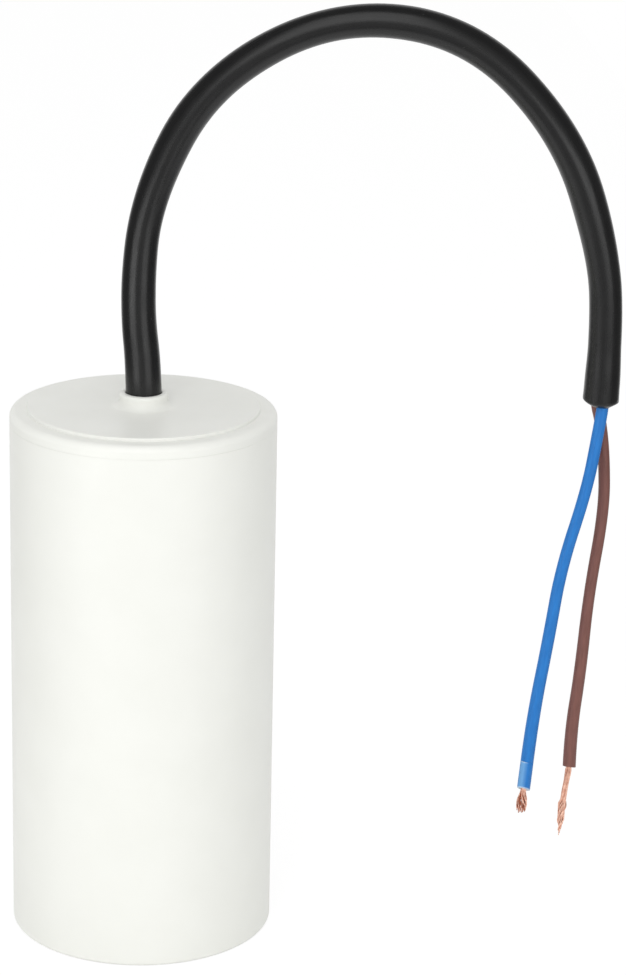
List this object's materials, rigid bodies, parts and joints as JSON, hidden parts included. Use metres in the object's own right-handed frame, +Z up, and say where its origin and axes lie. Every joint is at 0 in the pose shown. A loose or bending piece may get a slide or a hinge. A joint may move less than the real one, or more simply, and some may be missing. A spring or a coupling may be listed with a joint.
{
  "type": "motor run capacitor",
  "caption": "Cylindrical plastic-cased capacitor for a motor's auxiliary winding, with a snap-in lid, a central cable boss and a stiff round cable that ends in bare stranded wires.",
  "frame": {"origin": "centre of the can's underside, on the surface that it stands on", "axes": "+Z up along the can's axis, +X towards the side that the cable arches over to"},
  "size_m": [0.1146, 0.05, 0.1791],
  "materials": {
    "white_plastic": "satin moulded plastic with a very fine grain",
    "core_plastic": "plain moulded tube",
    "metallised_film": "wound metallised film, silver grey",
    "wrap_film": "clear film, wound and heat sealed",
    "zinc_spray": "sprayed zinc, dull and grainy",
    "solder": "smooth dull solder",
    "resin": "cast potting resin",
    "black_sheath": "semi-gloss black jacket",
    "blue_insulation": "semi-gloss blue insulation",
    "brown_insulation": "semi-gloss brown insulation",
    "copper": "bare annealed copper strands"
  },
  "bodies": {
    "root": {"case": "white_plastic", "lid": "white_plastic", "winding_core": "core_plastic", "film_winding": "metallised_film", "winding_wrap": "wrap_film", "end_spray_bottom": "zinc_spray", "end_spray_top": "zinc_spray", "solder_joint_bottom": "solder", "solder_joint_top": "solder", "inner_blue_lead": "blue_insulation", "inner_brown_lead": "brown_insulation", "inner_blue_conductor": "copper", "inner_brown_conductor": "copper", "potting_resin": "resin", "cable_sheath": "black_sheath", "blue_wire": "blue_insulation", "brown_wire": "brown_insulation", "blue_insulation_slug": "blue_insulation", "blue_strands": "copper", "brown_strands": "copper"}
  },
  "joints": []
}
